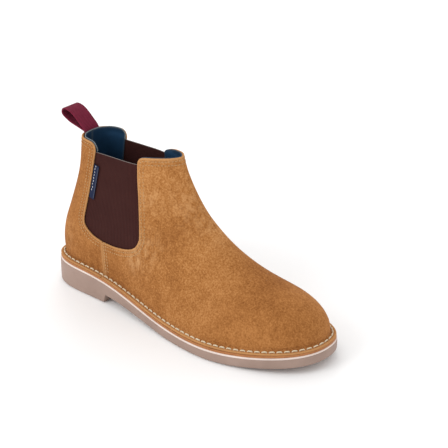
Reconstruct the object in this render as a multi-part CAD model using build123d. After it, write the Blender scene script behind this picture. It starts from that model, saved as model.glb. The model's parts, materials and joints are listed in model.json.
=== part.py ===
from build123d import *
import math
import os

import numpy as np

# A right-foot chelsea boot of stitchdown construction, size EU 43. Units are millimetres.
# Stations (x) are counted from the back of the heel towards the toe, z is up from the ground,
# and y is the wearer's left, so the lateral side has negative y. Every part is moved at the
# end, so that the origin lies at the bottom centre of the boot's footprint.

# ---------------------------------------------------------------- driving dimensions
SOLE_LENGTH = 305.0
FLANGE = 6.0  # how far the turned-out upper and the sole stand out from the upper's wall
FLANGE_EDGE = 0.8  # the flange's cut edge stays this far inside the outsole
SUEDE = 1.8
LAYER_GAP = 0.1
STIFFENER = 1.1  # thickness of the elastic, the toe puff and the heel counter
LINING = 0.9
LEATHER_MIDSOLE = 2.2
WHITE_MIDSOLE = 1.8
INSOLE_BOARD = 2.0
FOOTBED = 3.6
SOCK = 0.8

HEEL_BREAST = 74.0
FOREFOOT_FLAT = (170.0, 215.0)  # the part of the forefoot that lies on the ground
TREAD_DEPTH = 1.2
TREAD_BORDER = 9.0
TREAD_RIB = 9.0
TREAD_GROOVE = 2.4

TOP_Z = 153.5  # top edge of the quarters
GORE_TOP_Z = 144.0
GORE_UNDERLAP = 7.0
SHAFT_HALF_WIDTH = 23.0
SHAFT_BACK_ROUND = 30.0
SHAFT_BACK_POWER = 2.7

TAB_WIDTH = 19.2
TAB_THICKNESS = 1.4
TAB_PIVOT = (34.4, 154.6)
TAB_ANCHOR_LENGTH = 15.0
LABEL_WIDTH = 6.2
LABEL_THICKNESS = 0.8
LABEL_GAP = 0.6  # between the label and the quarter's edge
LABEL_LOW = (50.1, 98.5)
LABEL_HIGH = (57.5, 132.5)

STITCH_PITCH = 6.5
STITCH_LENGTH = 4.4
STITCH_RADIUS = 0.6
STITCH_INSET = 4.0

# The outsole's plan, from the back of the heel along the lateral side to the toe and back.
SOLE_PLAN = [
    (0, 0), (4, -18.5), (18, -28.5), (48, -33), (80, -35.5), (115, -41), (149, -48),
    (184, -54.5), (215, -56.3), (243, -51.5), (268, -42.5), (289, -30), (301.5, -14.5),
    (305, 3), (302, 18), (289.5, 32.5), (269, 43.5), (243, 50), (215, 50.5), (184, 44),
    (150, 35.5), (115, 31.5), (80, 32.5), (48, 33), (19, 28.5), (4.5, 17.5),
]
# Top of the flange, where the upper's wall starts: heel seat, waist, ball and toe spring.
FLANGE_TOP = [(0, 28.4), (40, 27.7), (76, 25.2), (110, 20.4), (150, 15.2), (200, 13.7),
              (250, 15.9), (305, 22.9)]
# Underside of the outsole in front of the heel.
SOLE_WAIST = [(76.5, 8.3), (95, 7.2), (110, 5.6), (130, 3.4), (150, 1.3), (160, 0.5), (170, 0)]
SOLE_SPRING = [(215, 0), (232, 0.6), (250, 1.8), (280, 4.9), (309, 9.0)]
# Centre-line profiles of the upper: over the toe and the instep, and up the back.
RIDGE = [(299, 21.9), (298.4, 31), (295.5, 39), (289.5, 45), (280, 50.5), (266, 55),
         (248, 59.5), (228, 65.8), (208, 75.5), (190, 88), (174, 102.5), (161, 119),
         (152, 135), (145.5, 150), (142, 162)]
BACK = [(6, 28.2), (4.6, 38), (5.2, 50), (8.5, 64), (14.5, 80), (21.5, 98), (27.5, 116),
        (31, 134), (32.5, 150), (33, 162)]
# Heights the ridge would reach behind the shaft's front, which round off the shaft in plan.
OPEN_RIDGE = [(95, 420), (115, 290), (128, 225), (136, 190)]
SLICES = [2, 14, 21, 28, 34, 39, 43.5, 47.5, 51, 54.5, 58.5, 63, 69, 77, 88, 101, 115,
          130, 145, 158]

# Panel outlines, seen from the side.
SEAM_TOP = (68.0, 58.6)
SEAM_FOOT_X = 71.0
GORE_BACK = [(59.6, 144.0), (57.1, 131), (53.8, 116), (50.3, 100), (46.8, 86), (44.3, 76)]
GORE_FRONT = [(116.6, 76), (115.6, 86), (113.5, 103), (111.6, 117), (109.9, 131),
              (109.2, 144.0)]
GORE_FOOT = [(44.3, 76), (44.6, 70), (49.5, 64.5), (58, 60.4), (68, 58.6), (80, 58.4),
             (94, 60.2), (105, 63.2), (113, 68.5), (116.6, 76)]


# ---------------------------------------------------------------- curves
def cubic(points):
    """The natural cubic spline through points (u, v): a function of u."""
    u, v = (np.array(c, float) for c in zip(*points))
    n, step = len(u), np.diff(u)
    system, right = np.eye(n), np.zeros(n)
    for i in range(1, n - 1):
        system[i, i - 1 : i + 2] = step[i - 1], 2 * (step[i - 1] + step[i]), step[i]
        right[i] = 6 * ((v[i + 1] - v[i]) / step[i] - (v[i] - v[i - 1]) / step[i - 1])
    bend = np.linalg.solve(system, right)

    def value(at):
        k = np.clip(np.searchsorted(u, at) - 1, 0, n - 2)
        a, b, h = u[k + 1] - at, at - u[k], step[k]
        ends = (v[k] / h - bend[k] * h / 6) * a + (v[k + 1] / h - bend[k + 1] * h / 6) * b
        return bend[k] * a**3 / (6 * h) + bend[k + 1] * b**3 / (6 * h) + ends

    return value


def curve_points(points, count):
    """count points along the smooth curve through points."""
    points = np.array(points, float)
    run = np.concatenate([[0], np.cumsum(np.linalg.norm(np.diff(points, axis=0), axis=1))])
    at = np.linspace(0, run[-1], count)
    return np.column_stack([cubic(list(zip(run, points[:, k])))(at) for k in (0, 1)])


def closed_points(points, count, wrap=5):
    """count points round the smooth closed curve through points."""
    long = list(points[-wrap:]) + list(points) + list(points[: wrap + 1])
    long = np.array(long, float)
    run = np.concatenate([[0], np.cumsum(np.linalg.norm(np.diff(long, axis=0), axis=1))])
    at = np.linspace(run[wrap], run[wrap + len(points)], count, endpoint=False)
    return np.column_stack([cubic(list(zip(run, long[:, k])))(at) for k in (0, 1)])


def shifted(points, distance, closed):
    """A polyline moved to its right-hand side by distance."""
    along = np.roll(points, -1, 0) - np.roll(points, 1, 0) if closed else np.gradient(points, axis=0)
    along /= np.linalg.norm(along, axis=1)[:, None]
    return points + distance * np.column_stack([along[:, 1], -along[:, 0]])


def smooth_step(x, low, high):
    u = np.clip((x - low) / (high - low), 0, 1)
    return u * u * (3 - 2 * u)


flange_top = cubic(FLANGE_TOP)
sole_spring = cubic(SOLE_SPRING)
PLAN = closed_points(SOLE_PLAN, 1200)


def plan_line(inset, count=72):
    """The sole's plan moved inwards by inset, as count points from the back of the heel."""
    line = shifted(PLAN, -inset, True)
    line = np.roll(line, -int(np.argmin(line[:, 0])), 0)
    return line[:: len(line) // count]


# ---------------------------------------------------------------- the upper's form
class Form:
    """The upper's outer surface, moved inwards by inset: the last, in effect."""

    def __init__(self, inset):
        self.inset = inset
        line = shifted(PLAN, -(FLANGE + inset), True)
        line = np.roll(line, -int(np.argmin(line[:, 0])), 0)
        toe = int(np.argmax(line[:, 0]))
        self.lateral = line[: toe + 1]
        self.medial = np.vstack([line[toe:], line[:1]])[::-1]
        self.heel, self.toe = line[0], line[toe]
        ridge = shifted(curve_points(RIDGE, 400), -inset, False)[::-1]
        self.back = shifted(curve_points(BACK, 400), inset, False)
        self.ridge_x, self.ridge_z = ridge[:, 0], ridge[:, 1]
        open_x, open_z = zip(*OPEN_RIDGE)
        self.over_x = np.concatenate([np.array(open_x) - inset, self.ridge_x])
        self.over_z = np.concatenate([open_z, self.ridge_z])

    def back_x(self, z):
        return np.interp(z, self.back[:, 1], self.back[:, 0])

    def front_x(self, z):
        return np.interp(z, self.ridge_z[::-1], self.ridge_x[::-1])

    def middle(self, x):
        share = np.clip((x - self.heel[0]) / (self.toe[0] - self.heel[0]), 0, 1)
        return self.heel[1] + (self.toe[1] - self.heel[1]) * share

    def foot_width(self, x, side):
        line = self.lateral if side < 0 else self.medial
        x = np.clip(x, self.heel[0], self.toe[0])
        return np.maximum(0, (np.interp(x, line[:, 0], line[:, 1]) - self.middle(x)) * side)

    def width(self, x, z, side):
        """Half width at station x and height z: a foot's outline low down, a narrow ring at
        the shaft, and a rounded cross-section under the ridge in front of it."""
        low = flange_top(x)
        rise = np.clip((z - low) / np.maximum(np.interp(x, self.over_x, self.over_z) - low, 1e-3), 0, 1)
        behind = x - self.back_x(z)
        drawn_in = self.back_x(z) - self.heel[0]
        foot = self.foot_width(x - drawn_in * (1 - smooth_step(behind, 10, 70)), side)
        shaft = 0.55 * smooth_step(z, 38, 152) + 0.45 * np.clip((z - 38) / 114, 0, 1)
        shaft = shaft * (1 - smooth_step(x, 128, 185))
        round_off = 1 - (1 - np.clip(behind / SHAFT_BACK_ROUND, 0, 1)) ** SHAFT_BACK_POWER
        ring = (SHAFT_HALF_WIDTH - self.inset) * np.maximum(0, round_off) ** (1 / SHAFT_BACK_POWER)
        taper = 0.38 * smooth_step(x, 95, 150) * (1 - smooth_step(x, 170, 262))
        taper = taper + 0.04 * smooth_step(x, 150, 240)
        power = 2.0 + 0.7 * smooth_step(x, 215, 275)
        over = (1 - taper * rise) * np.sqrt(np.maximum(0, 1 - rise**power))
        hollow = 0.06 * np.sin(math.pi * rise) * smooth_step(x, 150, 200) * (1 - smooth_step(x, 250, 290))
        lean = 1 - hollow if side < 0 else 1.0
        return ((1 - shaft) * foot + shaft * ring) * over * lean

    def section(self, z, half=20):
        """The closed outline at height z, from the back along the lateral side."""
        start, end = self.back_x(z), self.front_x(z)
        x = start + (end - start) * (1 - np.cos(np.pi * np.arange(half + 1) / half)) / 2
        outer = np.column_stack([x, self.middle(x) - self.width(x, z, -1)])
        inner = np.column_stack([x, self.middle(x) + self.width(x, z, 1)])
        outer[[0, -1], 1] = inner[[0, -1], 1] = self.middle(x[[0, -1]])
        return np.vstack([outer, inner[-2:0:-1]])

    def solid(self):
        wires = []
        for z in SLICES:
            points = [(float(x), float(y), float(z)) for x, y in self.section(z)]
            steps = [k / len(points) for k in range(len(points) + 1)]
            wires.append(Wire([Edge.make_spline(points, periodic=True, parameters=steps)]))
        return Solid.make_loft(wires)

    def side_y(self, x, z, side):
        """The surface's y at station x and height z."""
        return float(self.middle(x) + side * self.width(np.float64(x), np.float64(z), side))


# ---------------------------------------------------------------- solids from outlines
def plan_solid(inset, low=-5.0, high=60.0):
    points = [(float(x), float(y), low) for x, y in plan_line(inset)]
    face = Face(Wire([Edge.make_spline(points, periodic=True)]))
    return extrude(face, high - low, dir=(0, 0, 1))


def side_solid(*runs, depth=90.0):
    """The solid that a side-view outline sweeps across the boot. Each run is a list of (x, z):
    a smooth curve where it has more than two points, else a straight line."""
    edges, last = [], None
    first = runs[0][0]
    for run in runs:
        points = [(float(x), -depth, float(z)) for x, z in run]
        if last is not None and math.dist(last, points[0]) > 1e-6:
            edges.append(Edge.make_line(last, points[0]))
        if len(points) > 2:
            edges.append(Edge.make_spline(points))
        else:
            edges.append(Edge.make_line(*points))
        last = points[-1]
    start = (float(first[0]), -depth, float(first[1]))
    if math.dist(last, start) > 1e-6:
        edges.append(Edge.make_line(last, start))
    return extrude(Face(Wire(edges)), 2 * depth, dir=(0, 1, 0))


def height_run(height, x_low, x_high, rise=0.0, count=12):
    """Points along a height function, for the edge of a side outline."""
    return [(x, float(height(x)) + rise) for x in np.linspace(x_low, x_high, count)]


def seat_line(rise):
    """The line that every layer of the sole follows, at a height over the flange's top."""
    return height_run(flange_top, -4, 309, rise)


def band(rise_low, rise_high):
    """A wavy sheet across the boot between two heights over the flange's top."""
    return side_solid(seat_line(rise_low), seat_line(rise_high)[::-1])


def slab(rise_low, rise_high, inset):
    """A layer of the sole: the sole's plan moved inwards, between two heights."""
    return plan_solid(inset) & band(rise_low, rise_high)


def half_space(side, gap=0.0):
    """Everything on one side of the back seam."""
    box = Box(400, 120, 220, align=(Align.MIN, Align.MIN, Align.MIN))
    shift = gap if side > 0 else -120 - gap
    return Pos(-20, float(FORM.heel[1]) + shift, -5) * box


# ---------------------------------------------------------------- sole unit
SEAT = -SUEDE  # heights below are counted from the flange top
LEATHER_TOP = SEAT
WHITE_TOP = LEATHER_TOP - LEATHER_MIDSOLE
OUTSOLE_TOP = WHITE_TOP - WHITE_MIDSOLE


def outsole():
    profile = side_solid([(-4, 0), (HEEL_BREAST, 0)], [(HEEL_BREAST, 0), SOLE_WAIST[0]], SOLE_WAIST,
                         [(x, 0) for x in FOREFOOT_FLAT], SOLE_SPRING, seat_line(OUTSOLE_TOP)[::-1])
    body = plan_solid(0) & profile
    body = body - heel_cavities()
    return body - tread_grooves()


def heel_cavities():
    """Three pockets moulded into the heel from above, with ribs between them."""
    pockets = []
    for y, length in ((-13, 40), (0.5, 46), (14, 40)):
        block = Pos(39, y, 5) * Box(length, 9.5, 40, align=(Align.CENTER, Align.CENTER, Align.MIN))
        pockets.append(fillet(block.edges().filter_by(Axis.Z), 3))
    return Part() + pockets


def tread_grooves():
    """Shallow grooves across the heel and the forefoot, inside a plain border."""
    flat = [
        Pos(x, 0, -3) * Box(length, 110, 3 + TREAD_DEPTH, align=(Align.CENTER, Align.CENTER, Align.MIN))
        for x, length in ((36, 56), (sum(FOREFOOT_FLAT) / 2, FOREFOOT_FLAT[1] - FOREFOOT_FLAT[0]))
    ]
    spring = side_solid(height_run(sole_spring, FOREFOOT_FLAT[1], 290, -3),
                        height_run(sole_spring, FOREFOOT_FLAT[1], 290, TREAD_DEPTH)[::-1])
    layer = Part() + flat + spring
    stripes = [
        Pos(x, 0, -10) * Box(TREAD_GROOVE, 130, 40, align=(Align.CENTER, Align.CENTER, Align.MIN))
        for x in np.arange(14, 292, TREAD_RIB)
    ]
    return (Part() + stripes) & layer & plan_solid(TREAD_BORDER, -8, 30)


def shank_strip(grow=0.0):
    """The steel strip under the waist, from the heel seat to the ball."""
    outline = Pos(100, 0, -5) * Box(116 + 2 * grow, 14 + 2 * grow, 60,
                                    align=(Align.CENTER, Align.CENTER, Align.MIN))
    return band(SEAT - 1.2 - grow, SEAT) & fillet(outline.edges().filter_by(Axis.Z), 5)


def welt_stitches():
    """Short lengths of thread that lie on the flange, all round the boot."""
    line = plan_line(STITCH_INSET, 1200)
    line = np.vstack([line, line[:1]])
    run = np.concatenate([[0], np.cumsum(np.linalg.norm(np.diff(line, axis=0), axis=1))])
    count = round(run[-1] / STITCH_PITCH)
    threads = []
    for k in range(count):
        ends = [(k + 0.5) * run[-1] / count + s * STITCH_LENGTH / 2 for s in (-1, 1)]
        a, b = (
            Vector(x, y, float(flange_top(x)) + STITCH_RADIUS + 0.05)
            for x, y in ((float(np.interp(e, run, line[:, 0])), float(np.interp(e, run, line[:, 1])))
                         for e in ends)
        )
        rod = Solid.make_cylinder(STITCH_RADIUS, (b - a).length, Plane(origin=a, z_dir=b - a))
        threads.append(fillet(rod.edges().filter_by(GeomType.CIRCLE), 0.35))
    return Compound(threads)


# ---------------------------------------------------------------- upper
def gore_outline(grow=0.0):
    """The gore window seen from the side, or the elastic behind it when grown."""
    loop = GORE_BACK + GORE_FOOT[1:-1] + GORE_FRONT
    points = curve_points(loop, 60)
    points = shifted(points, grow, False) if grow else points
    top = GORE_TOP_Z if grow else TOP_Z + 12
    if grow:
        points = points[points[:, 1] < GORE_TOP_Z - 0.5]
    first, last = points[0], points[-1]
    return side_solid([tuple(p) for p in points], [tuple(last), (last[0] - 0.3, top)],
                      [(last[0] - 0.3, top), (first[0] + 0.3, top)])


def above_flange_foot():
    return side_solid(seat_line(SEAT), [(309, 175), (-4, 175)])


def top_edge():
    """Below the topline: level over the quarters, a little higher over the instep, with
    rounded corners next to the gores."""
    quarter = [(-10, 0), (-10, TOP_Z)], [(-10, TOP_Z), (53.5, TOP_Z)]
    corner_back = [(53.5, TOP_Z), (57.6, TOP_Z - 1.4), (59.9, GORE_TOP_Z + 4), (59.9, GORE_TOP_Z)]
    corner_front = [(109.2, GORE_TOP_Z), (109.5, GORE_TOP_Z + 3.5), (112.4, TOP_Z - 2.8),
                    (118, TOP_Z - 1.4)]
    front = [(118, TOP_Z - 1.4), (150, TOP_Z + 1.4)], [(150, TOP_Z + 1.4), (320, TOP_Z + 1.4)]
    return side_solid(*quarter, corner_back, [(59.9, GORE_TOP_Z), (109.2, GORE_TOP_Z)],
                      corner_front, *front, [(320, TOP_Z + 1.4), (320, 0)])


def seam_side(front, gap=0.05):
    """In front of or behind the side seams, which run from the gores down to the flange."""
    top, foot = SEAM_TOP[0], SEAM_FOOT_X
    shift = gap if front else -gap
    line = [(top + shift, 175), (top + shift, SEAM_TOP[1])], [
        (top + shift, SEAM_TOP[1]), (foot + shift, 20)], [(foot + shift, 20), (foot + shift, -5)]
    far = 320 if front else -20
    return side_solid(*line, [(far, -5), (far, 175)])


def upper_blank():
    """The whole suede skin with its turned-out flange, before it is cut into panels."""
    skin = (OUTER & above_flange_foot()) + slab(SEAT, 0, FLANGE_EDGE)
    skin = skin - SUEDE_INSIDE
    return (skin & top_edge()) - gore_outline()


def middle_layer(profile):
    return (LAYER_OUTSIDE - LAYER_INSIDE) & profile


def counter_outline(grow=0.0):
    outline = [(-4, 10), (92 + grow, 10), (92 + grow, 44 + grow), (60, 48 + grow),
               (38 + grow, 60 + grow), (32 + grow, 76 + grow), (-4, 76 + grow)]
    prism = side_solid(*[list(pair) for pair in zip(outline, outline[1:])])
    return prism & side_solid(seat_line(0.4 + INSOLE_BOARD - SUEDE), [(309, 175), (-4, 175)])


def toe_puff_outline(grow=0.0):
    outline = [(262 - grow, 10), (309, 10), (309, 90), (276 - grow, 90), (262 - grow, 10)]
    prism = side_solid(*[list(pair) for pair in zip(outline, outline[1:])])
    return prism & side_solid(seat_line(0.4 + INSOLE_BOARD - SUEDE), [(309, 175), (-4, 175)])


def tab_anchor_outline(grow=0.0):
    low = TOP_Z - TAB_ANCHOR_LENGTH
    width = TAB_WIDTH + 2 * grow
    return Pos(34, 0, low - grow) * Box(30, width, TAB_ANCHOR_LENGTH + 2 * grow,
                                        align=(Align.CENTER, Align.CENTER, Align.MIN))


def lining():
    """The inner skin, with pockets for what lies between it and the suede."""
    skin = (LAYER_OUTSIDE - LINING_INSIDE) & side_solid(
        seat_line(INSOLE_BOARD - SUEDE + 0.2), [(309, 175), (-4, 175)])
    skin = (skin & Pos(0, 0, -0.6) * top_edge()) - gore_outline()
    grow = 0.3
    for outline in (counter_outline(grow), toe_puff_outline(grow), gore_outline(GORE_UNDERLAP + grow),
                    tab_anchor_outline(grow)):
        skin = skin - (outline - POCKET_FLOOR)
    return skin


# ---------------------------------------------------------------- tab and label
def tab_loop():
    """The free part of the pull tab: webbing bent into a loop that leans back."""
    x, z = TAB_PIVOT
    outer = [(x, z), (30.0, 161.8), (22.2, 168.6), (13.8, 172), (7.8, 170.6), (7.0, 166.4),
             (11.5, 162.4), (19.0, 159.0), (26.5, 157.0)]
    line = closed_points(outer, 60)
    inner = shifted(line, TAB_THICKNESS, True)
    area = []
    for p in (line, inner):
        ahead = np.roll(p, -1, 0)
        area.append(abs(np.sum(p[:, 0] * ahead[:, 1] - ahead[:, 0] * p[:, 1])))
    if area[1] > area[0]:
        inner = shifted(line, -TAB_THICKNESS, True)
    inner = inner[inner[:, 0] < x - 4.5]
    faces = []
    for points in (line, inner):
        ring = [(float(a), -TAB_WIDTH / 2, float(b)) for a, b in points]
        faces.append(Face(Wire([Edge.make_spline(ring, periodic=True)])))
    loop, hole = (extrude(f, TAB_WIDTH, dir=(0, 1, 0)) for f in faces)
    return loop - hole


def label_flag():
    """A small folded label that lies on the lateral gore, in front of the quarter's edge."""
    low, high = (Vector(x, FORM.side_y(x, z, -1), z) for x, z in (LABEL_LOW, LABEL_HIGH))
    along = (high - low).normalized()
    ahead_x = LABEL_LOW[0] + LABEL_WIDTH
    ahead = (Vector(ahead_x, FORM.side_y(ahead_x, LABEL_LOW[1], -1), LABEL_LOW[1]) - low).normalized()
    inwards = along.cross(ahead).normalized()
    if inwards.Y < 0:
        inwards = -inwards
    across = (ahead - along * ahead.dot(along)).normalized()
    corner = low + across * LABEL_GAP + inwards * 0.5
    plane = Plane(origin=corner, x_dir=across, z_dir=inwards)
    height = (high - low).length
    y_up = 1 if plane.y_dir.dot(along) > 0 else -1
    block = Pos(LABEL_WIDTH / 2, y_up * height / 2, LABEL_THICKNESS / 2) * Box(
        LABEL_WIDTH, height, LABEL_THICKNESS)
    return plane * fillet(block.edges().filter_by(Axis.Y), 0.3)


# ---------------------------------------------------------------- build and write
FORM = Form(0)
OUTER = FORM.solid()
SUEDE_INSIDE = Form(SUEDE).solid()
LAYER_OUTSIDE = Form(SUEDE + LAYER_GAP).solid()
LAYER_INSIDE = Form(SUEDE + LAYER_GAP + STIFFENER).solid()
POCKET_FLOOR = Form(SUEDE + 2 * LAYER_GAP + STIFFENER).solid()
LINING_INSIDE = Form(SUEDE + 2 * LAYER_GAP + STIFFENER + LINING).solid()
FOOT_SPACE = Form(SUEDE + 2 * LAYER_GAP + STIFFENER + LINING + 0.3).solid()


def build():
    skin = upper_blank()
    quarters = skin & seam_side(False)
    liner = lining()
    shank = shank_strip()
    board = LAYER_OUTSIDE & band(SEAT + 0.05, SEAT + INSOLE_BOARD)
    low = SEAT + INSOLE_BOARD + LAYER_GAP
    return {
        "outsole": outsole(),
        "white_midsole": slab(OUTSOLE_TOP, WHITE_TOP, 0.2),
        "leather_midsole": slab(WHITE_TOP, LEATHER_TOP, FLANGE_EDGE) - shank_strip(0.1),
        "steel_shank": shank,
        "insole_board": board,
        "footbed_foam": FOOT_SPACE & band(low, low + FOOTBED),
        "sock_lining": FOOT_SPACE & band(low + FOOTBED, low + FOOTBED + SOCK),
        "welt_stitching": welt_stitches(),
        "vamp": skin & seam_side(True),
        "quarter_lateral": quarters & half_space(-1, 0.05),
        "quarter_medial": quarters & half_space(1, 0.05),
        "gore_lateral": middle_layer(gore_outline(GORE_UNDERLAP)) & half_space(-1),
        "gore_medial": middle_layer(gore_outline(GORE_UNDERLAP)) & half_space(1),
        "heel_counter": middle_layer(counter_outline()),
        "toe_puff": middle_layer(toe_puff_outline()),
        "vamp_lining": liner & seam_side(True),
        "quarter_lining": liner & seam_side(False),
        "pull_tab_anchor": middle_layer(tab_anchor_outline()),
        "pull_tab_loop": tab_loop(),
        "flag_label": label_flag(),
    }


def main():
    os.makedirs("parts", exist_ok=True)
    parts = build()
    box = parts["outsole"].bounding_box()
    move = Location((-(box.min.X + box.max.X) / 2, -(box.min.Y + box.max.Y) / 2, 0))
    print("moved by", move.position)
    for name, shape in parts.items():
        export_step(move * Compound(shape.solids()), f"parts/{name}.step")


main()
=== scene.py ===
import json
import math

import bpy
import numpy as np
from mathutils import Matrix, Vector
from mathutils.geometry import delaunay_2d_cdt


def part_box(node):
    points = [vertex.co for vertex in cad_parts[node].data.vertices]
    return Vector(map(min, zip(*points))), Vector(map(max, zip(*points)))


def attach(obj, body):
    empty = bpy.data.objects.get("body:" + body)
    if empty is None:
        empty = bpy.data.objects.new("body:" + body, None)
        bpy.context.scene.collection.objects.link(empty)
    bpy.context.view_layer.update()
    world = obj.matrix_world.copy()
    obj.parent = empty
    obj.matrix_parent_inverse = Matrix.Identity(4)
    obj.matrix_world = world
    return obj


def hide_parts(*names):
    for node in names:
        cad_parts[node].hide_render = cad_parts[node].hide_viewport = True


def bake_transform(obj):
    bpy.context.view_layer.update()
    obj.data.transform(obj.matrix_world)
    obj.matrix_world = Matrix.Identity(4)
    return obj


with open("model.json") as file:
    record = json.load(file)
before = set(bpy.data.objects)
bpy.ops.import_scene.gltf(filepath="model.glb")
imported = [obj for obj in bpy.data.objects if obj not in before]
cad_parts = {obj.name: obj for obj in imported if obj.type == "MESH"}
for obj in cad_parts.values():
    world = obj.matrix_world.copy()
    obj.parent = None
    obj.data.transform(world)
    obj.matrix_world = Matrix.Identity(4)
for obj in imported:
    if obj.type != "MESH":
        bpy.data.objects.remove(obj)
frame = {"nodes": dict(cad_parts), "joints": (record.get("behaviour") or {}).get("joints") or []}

# A right-foot chelsea boot. Lengths here are millimetres in the boot's own stations: x from the back
# of the heel, z from the ground, y to the medial side. to_row() moves them into the row frame in metres.

# ---------------------------------------------------------------- dimensions shared with the CAD
FLANGE = 6.0
FLANGE_EDGE = 0.8
SUEDE = 1.8
LAYER_GAP = 0.1
STIFFENER = 1.1
LINING = 0.9
LEATHER_MIDSOLE = 2.2
WHITE_MIDSOLE = 1.8
INSOLE_BOARD = 2.0
FOOTBED = 3.6
SOCK = 0.8
HEEL_BREAST = 74.0
GORE_TOP_Z = 144.0
SHAFT_HALF_WIDTH = 23.0
SHAFT_BACK_ROUND = 30.0
SHAFT_BACK_POWER = 2.7
STITCH_PITCH = 6.5
STITCH_INSET = 4.0
WELT_THREAD = 0.72
WELT_STITCH_HALF = 2.35
TREAD_DEPTH = 1.2
TREAD_BORDER = 9.0
TREAD_RIB = 9.0
TREAD_GROOVE = 2.4
TREAD_STATIONS = np.arange(14, 292, TREAD_RIB)
GORE_TUCK = 6.5
GORE_RIBS = 44
SEAM_ROWS = (3.0, 6.4)
SIDE_SEAM_ROWS = (2.4, 5.2)
BACK_SEAM_ROW = 2.2
SEAM_THREAD = (3.1, 2.35, 0.31)

SOLE_PLAN = [
    (0, 0), (4, -18.5), (18, -28.5), (48, -33), (80, -35.5), (115, -41), (149, -48),
    (184, -54.5), (215, -56.3), (243, -51.5), (268, -42.5), (289, -30), (301.5, -14.5),
    (305, 3), (302, 18), (289.5, 32.5), (269, 43.5), (243, 50), (215, 50.5), (184, 44),
    (150, 35.5), (115, 31.5), (80, 32.5), (48, 33), (19, 28.5), (4.5, 17.5),
]
FLANGE_TOP = [(0, 28.4), (40, 27.7), (76, 25.2), (110, 20.4), (150, 15.2), (200, 13.7),
              (250, 15.9), (305, 22.9)]
FOREFOOT_FLAT = (170.0, 215.0)
SOLE_WAIST = [(76.5, 8.3), (95, 7.2), (110, 5.6), (130, 3.4), (150, 1.3), (160, 0.5), (170, 0)]
SOLE_SPRING = [(215, 0), (232, 0.6), (250, 1.8), (280, 4.9), (309, 9.0)]
RIDGE = [(299, 21.9), (298.4, 31), (295.5, 39), (289.5, 45), (280, 50.5), (266, 55),
         (248, 59.5), (228, 65.8), (208, 75.5), (190, 88), (174, 102.5), (161, 119),
         (152, 135), (145.5, 150), (142, 162)]
BACK = [(6, 28.2), (4.6, 38), (5.2, 50), (8.5, 64), (14.5, 80), (21.5, 98), (27.5, 116),
        (31, 134), (32.5, 150), (33, 162)]
OPEN_RIDGE = [(95, 420), (115, 290), (128, 225), (136, 190)]
SEAM_TOP = (68.0, 58.6)
SEAM_FOOT_X = 71.0
GORE_BACK = [(59.6, 144.0), (57.1, 131), (53.8, 116), (50.3, 100), (46.8, 86), (44.3, 76)]
GORE_FOOT = [(44.3, 76), (44.6, 70), (49.5, 64.5), (58, 60.4), (68, 58.6), (80, 58.4),
             (94, 60.2), (105, 63.2), (113, 68.5), (116.6, 76)]
GORE_FRONT = [(116.6, 76), (115.6, 86), (113.5, 103), (111.6, 117), (109.9, 131),
              (109.2, 144.0)]
LABEL_SEWN_OUTER = SUEDE + 0.02
LABEL_SEWN_INNER = SUEDE + LAYER_GAP - 0.015
TAB_WIDTH = 19.2
TAB_PIVOT = (34.4, 154.6)
TAB_OUTER_PLY = 2.20
TAB_INNER_PLY = 2.79
TAB_SEWN_HALF = 0.24
TAB_FREE_HALF = 0.68
TAB_RIB_PITCH = 1.15
TAB_SEWN_MIDDLE = 147.0
TAB_REACH = 30.0
LABEL_HALF = 0.36
LABEL_DASH_PITCH = 3.1

# ---------------------------------------------------------------- curves


def cubic(points):
    """The natural cubic spline through points (u, v): a function of u."""
    u, v = (np.array(c, float) for c in zip(*points))
    n, step = len(u), np.diff(u)
    system, right = np.eye(n), np.zeros(n)
    for i in range(1, n - 1):
        system[i, i - 1 : i + 2] = step[i - 1], 2 * (step[i - 1] + step[i]), step[i]
        right[i] = 6 * ((v[i + 1] - v[i]) / step[i] - (v[i] - v[i - 1]) / step[i - 1])
    bend = np.linalg.solve(system, right)

    def value(at):
        k = np.clip(np.searchsorted(u, at) - 1, 0, n - 2)
        a, b, h = u[k + 1] - at, at - u[k], step[k]
        ends = (v[k] / h - bend[k] * h / 6) * a + (v[k + 1] / h - bend[k + 1] * h / 6) * b
        return bend[k] * a**3 / (6 * h) + bend[k + 1] * b**3 / (6 * h) + ends

    return value


def run_length(points):
    return np.concatenate([[0], np.cumsum(np.linalg.norm(np.diff(points, axis=0), axis=1))])


def unit(vectors):
    return vectors / np.maximum(np.linalg.norm(vectors, axis=-1, keepdims=True), 1e-9)


def signed_area(line):
    ahead = np.roll(line, -1, 0)
    return np.sum(line[:, 0] * ahead[:, 1] - ahead[:, 0] * line[:, 1]) / 2


def columns(at, run, table):
    """Each column of table interpolated at distances along run."""
    return np.column_stack([np.interp(at, run, column) for column in table.T])


def curve_points(points, count):
    points = np.array(points, float)
    run = run_length(points)
    at = np.linspace(0, run[-1], count)
    return np.column_stack([cubic(list(zip(run, points[:, k])))(at) for k in range(points.shape[1])])


def closed_points(points, count, wrap=5):
    long = np.array(list(points[-wrap:]) + list(points) + list(points[: wrap + 1]), float)
    run = run_length(long)
    at = np.linspace(run[wrap], run[wrap + len(points)], count, endpoint=False)
    return np.column_stack([cubic(list(zip(run, long[:, k])))(at) for k in (0, 1)])


def shifted(points, distance, closed):
    along = np.roll(points, -1, 0) - np.roll(points, 1, 0) if closed else np.gradient(points, axis=0)
    along = unit(along)
    return points + distance * np.column_stack([along[:, 1], -along[:, 0]])


def resample(points, spacing):
    """Points along a polyline at about an even spacing."""
    points = np.array(points, float)
    run = run_length(points)
    count = max(2, int(round(run[-1] / spacing)) + 1)
    at = np.linspace(0, run[-1], count)
    return columns(at, run, points)


def smooth_step(x, low, high):
    u = np.clip((x - low) / (high - low), 0, 1)
    return u * u * (3 - 2 * u)


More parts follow.
